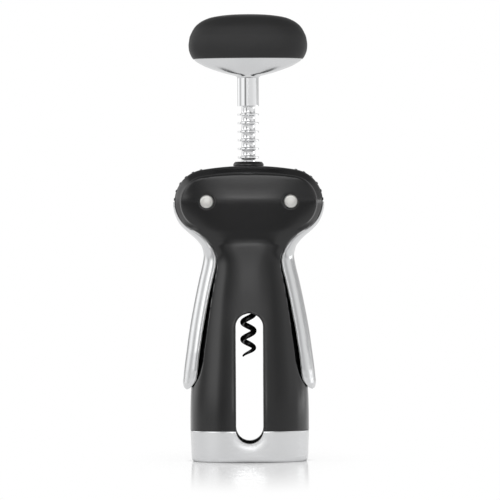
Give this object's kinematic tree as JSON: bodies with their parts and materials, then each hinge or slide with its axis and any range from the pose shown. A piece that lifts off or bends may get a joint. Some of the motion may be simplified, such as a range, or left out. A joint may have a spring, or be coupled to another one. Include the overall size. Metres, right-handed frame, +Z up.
{
  "type": "winged corkscrew",
  "caption": "Standing winged corkscrew: turning knob on a ringed rack rod with a worm, geared side levers, windowed body and a foil cutter as its base.",
  "frame": {"origin": "centre of the base's underside, on the worm's axis", "axes": "+Z up along the worm and rod, -Y to the front, where the pins' heads show, +X to the right lever"},
  "size_m": [0.0686, 0.0444, 0.2027],
  "materials": {
    "black_shell": "satin black moulding",
    "soft_grip": "soft black grip",
    "satin_zinc": "satin cast metal",
    "chrome": "polished plating",
    "bright_steel": "turned steel",
    "dark_steel": "dark oxide steel",
    "worm_coat": "slick black coating",
    "white_nylon": "natural nylon"
  },
  "bodies": {
    "foil_cutter": {"foil_cutter_shell": "satin_zinc", "foil_cutter_body": "black_shell", "wheel_axle_1": "bright_steel", "wheel_axle_2": "bright_steel", "wheel_axle_3": "bright_steel", "wheel_axle_4": "bright_steel"},
    "wheel_1": {"cutter_wheel_1": "bright_steel"},
    "wheel_2": {"cutter_wheel_2": "bright_steel"},
    "wheel_3": {"cutter_wheel_3": "bright_steel"},
    "wheel_4": {"cutter_wheel_4": "bright_steel"},
    "body": {"front_housing": "black_shell", "rear_housing": "black_shell", "bottle_guide": "black_shell", "top_collar": "black_shell", "left_pivot_pin": "bright_steel", "left_pin_cap": "bright_steel", "left_front_washer": "white_nylon", "left_rear_washer": "white_nylon", "right_pivot_pin": "bright_steel", "right_pin_cap": "bright_steel", "right_front_washer": "white_nylon", "right_rear_washer": "white_nylon"},
    "left_wing": {"left_lever": "satin_zinc", "left_gear": "dark_steel", "left_gear_rivet_1": "bright_steel", "left_gear_rivet_2": "bright_steel"},
    "right_wing": {"right_lever": "satin_zinc", "right_gear": "dark_steel", "right_gear_rivet_1": "bright_steel", "right_gear_rivet_2": "bright_steel"},
    "bush": {"stem_bush": "white_nylon"},
    "rod": {"rack_rod": "chrome", "worm": "worm_coat", "worm_pin": "bright_steel", "knob_flare": "satin_zinc", "knob_core": "black_shell", "knob_screw": "bright_steel", "knob_grip": "soft_grip"}
  },
  "joints": [
    {"name": "body_lift", "type": "slide", "parent": "foil_cutter", "child": "body", "axis": [0, 0, 1], "range_m": [0, 0.012]},
    {"name": "left_swing", "type": "hinge", "parent": "body", "child": "left_wing", "pos_m": [-0.01893, 0, 0.1175], "axis": [0, 1, 0], "range_deg": [0, 144]},
    {"name": "right_swing", "type": "hinge", "parent": "body", "child": "right_wing", "pos_m": [0.01893, 0, 0.1175], "axis": [0, -1, 0], "range_deg": [0, 144]},
    {"name": "knob_turn", "type": "hinge", "parent": "body", "child": "bush", "pos_m": [0, 0, 0.132], "axis": [0, 0, 1], "continuous": true},
    {"name": "rod_slide", "type": "slide", "parent": "bush", "child": "rod", "axis": [0, 0, 1], "range_m": [-0.03734, 0]},
    {"name": "wheel_1_spin", "type": "hinge", "parent": "foil_cutter", "child": "wheel_1", "pos_m": [-0.0128, -0.0128, 0.006], "axis": [0, 0, 1], "continuous": true},
    {"name": "wheel_2_spin", "type": "hinge", "parent": "foil_cutter", "child": "wheel_2", "pos_m": [0.0128, -0.0128, 0.006], "axis": [0, 0, 1], "continuous": true},
    {"name": "wheel_3_spin", "type": "hinge", "parent": "foil_cutter", "child": "wheel_3", "pos_m": [0.0128, 0.0128, 0.006], "axis": [0, 0, 1], "continuous": true},
    {"name": "wheel_4_spin", "type": "hinge", "parent": "foil_cutter", "child": "wheel_4", "pos_m": [-0.0128, 0.0128, 0.006], "axis": [0, 0, 1], "continuous": true}
  ],
  "couplings": [
    {"joint": "left_swing", "follows": "rod_slide", "rad_per_m": -67.301},
    {"joint": "right_swing", "follows": "rod_slide", "rad_per_m": -67.301}
  ]
}
